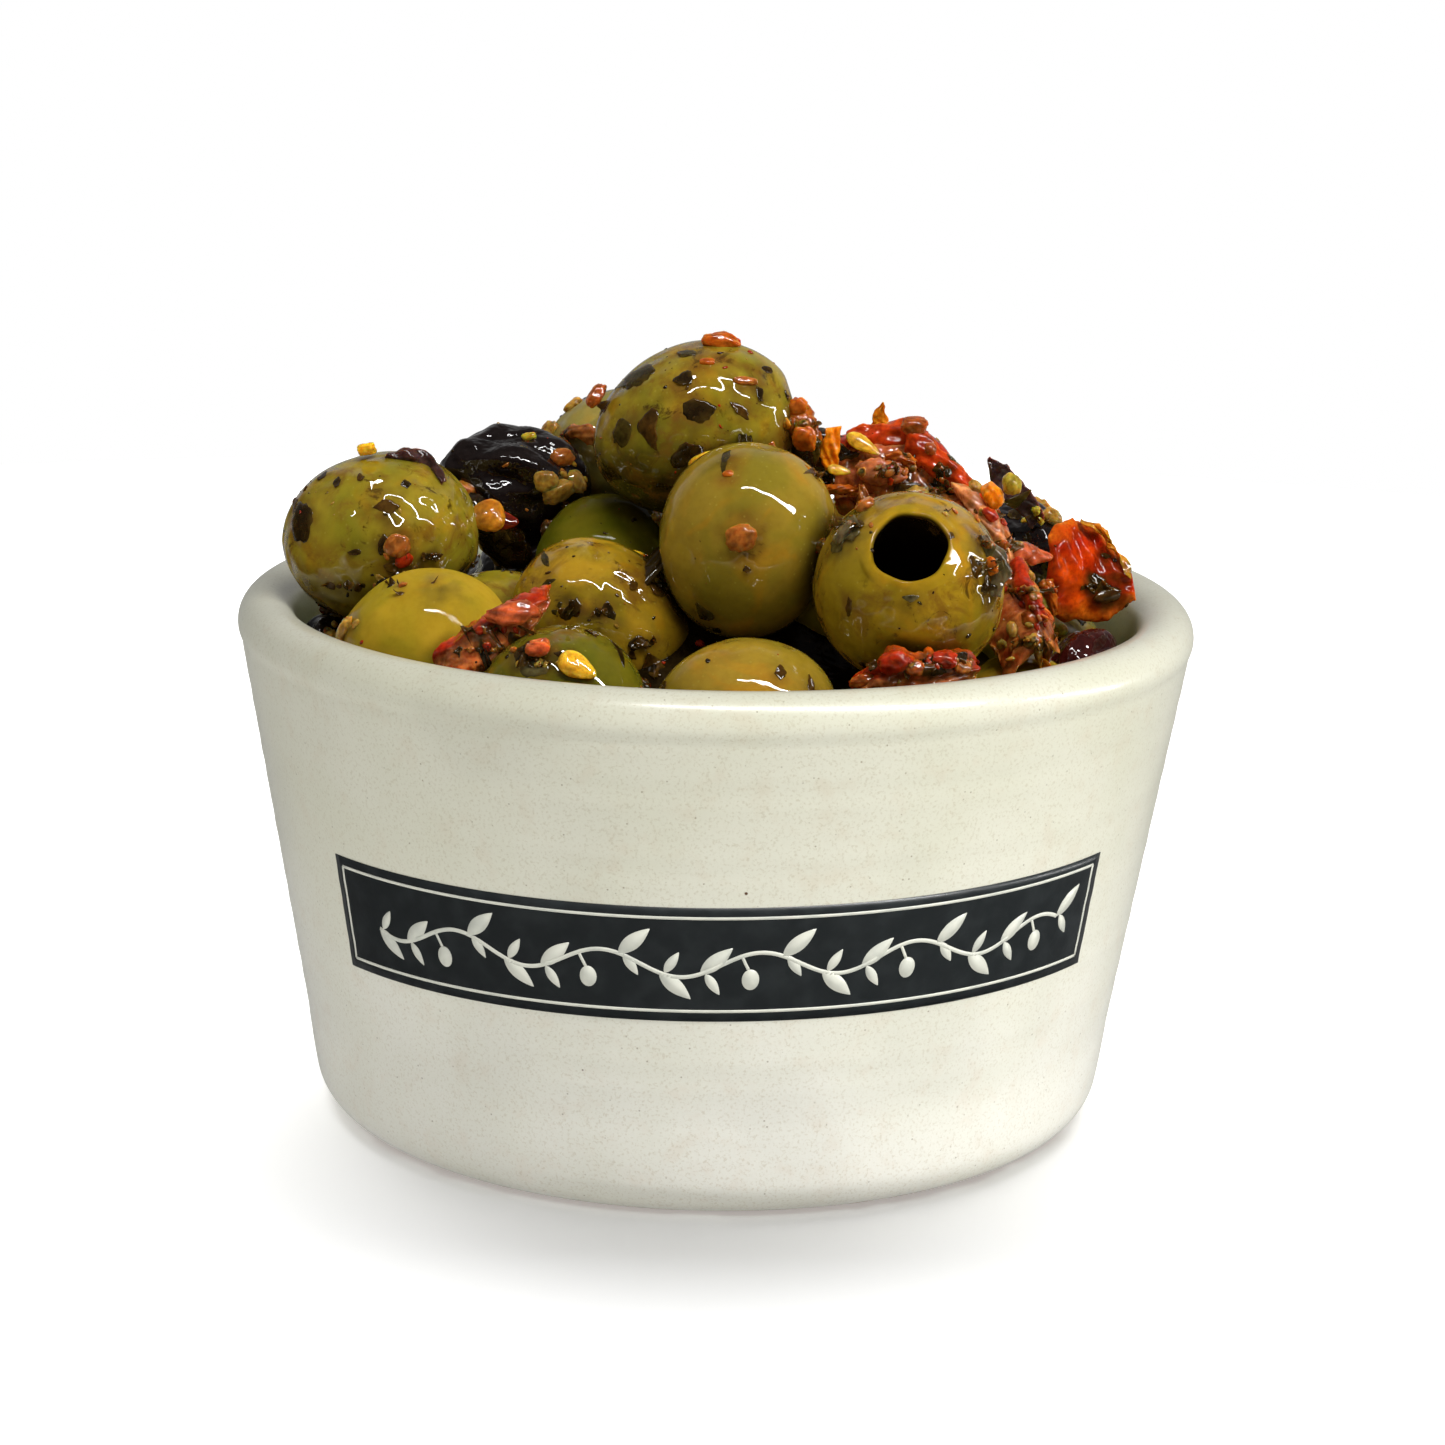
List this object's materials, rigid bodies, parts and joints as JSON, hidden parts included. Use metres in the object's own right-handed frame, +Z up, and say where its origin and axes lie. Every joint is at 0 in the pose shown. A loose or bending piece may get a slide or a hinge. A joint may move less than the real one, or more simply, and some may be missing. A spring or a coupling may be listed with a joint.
{
  "type": "bowl of olives",
  "caption": "Small round stoneware bowl heaped with marinated green and black olives, herbs, garlic and sun-dried tomato.",
  "frame": {"origin": "centre of the bowl's base, on the surface that the bowl stands on", "axes": "+Z up along the bowl's axis; -Y towards the front, where the bowl's band is"},
  "size_m": [0.1, 0.1, 0.0822],
  "materials": {
    "stoneware_glaze": "glossy cream glaze with fine speckles",
    "olives_in_marinade": "olive green skins, wet with oil, with dark herb flakes",
    "sun_dried_tomato": "wet, crumpled, red to orange"
  },
  "bodies": {
    "root": {"bowl": "stoneware_glaze", "olive_heap": "olives_in_marinade", "tomato_ridge": "sun_dried_tomato", "tomato_flap": "sun_dried_tomato", "tomato_front_left": "sun_dried_tomato", "tomato_front_right": "sun_dried_tomato"}
  },
  "joints": []
}
